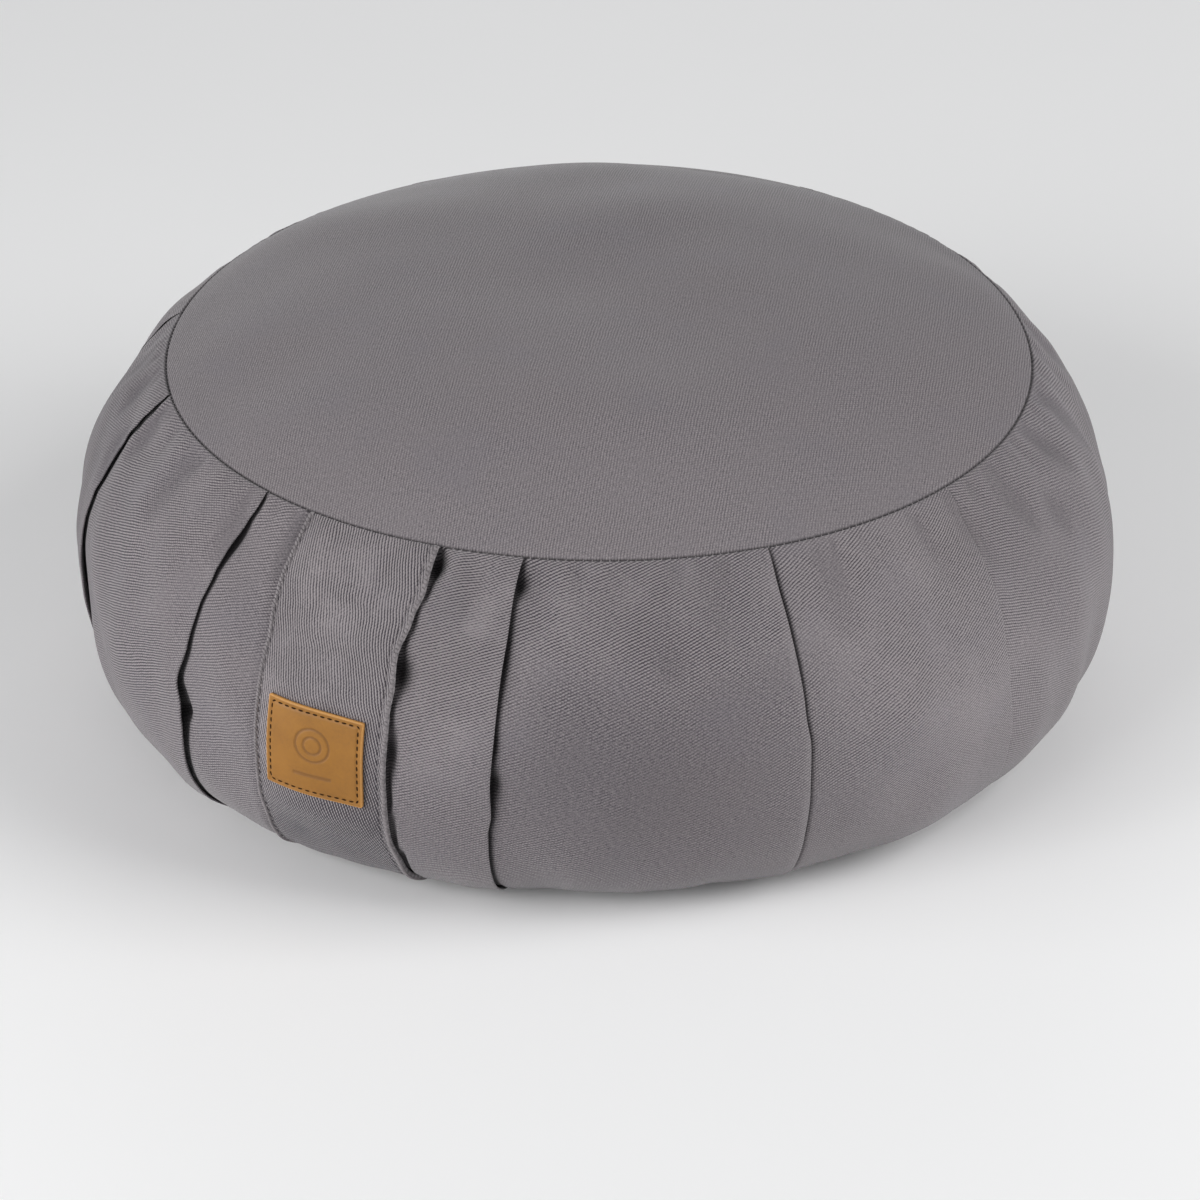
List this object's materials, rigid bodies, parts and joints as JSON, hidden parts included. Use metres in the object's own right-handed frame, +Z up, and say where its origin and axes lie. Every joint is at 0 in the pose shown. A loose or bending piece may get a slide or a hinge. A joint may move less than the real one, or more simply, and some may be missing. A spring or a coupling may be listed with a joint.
{
  "type": "zafu meditation cushion",
  "caption": "Round pleated floor cushion with a crowned top panel, a side band laid in knife pleats over its filling, a sewn side strap and a small leather label.",
  "frame": {"origin": "middle of the bottom panel, on the floor it rests on", "axes": "+Z up out of the crowned top panel, -Y towards the front, +X to the right; the strap is on the front left"},
  "size_m": [0.3939, 0.4017, 0.161],
  "materials": {
    "twill": "grey cotton twill, matt",
    "leather": "smooth tan leather, satin"
  },
  "bodies": {
    "root": {"top_panel": "twill", "bottom_panel": "twill", "pleated_side": "twill", "side_strap": "twill", "leather_label": "leather"}
  },
  "joints": []
}
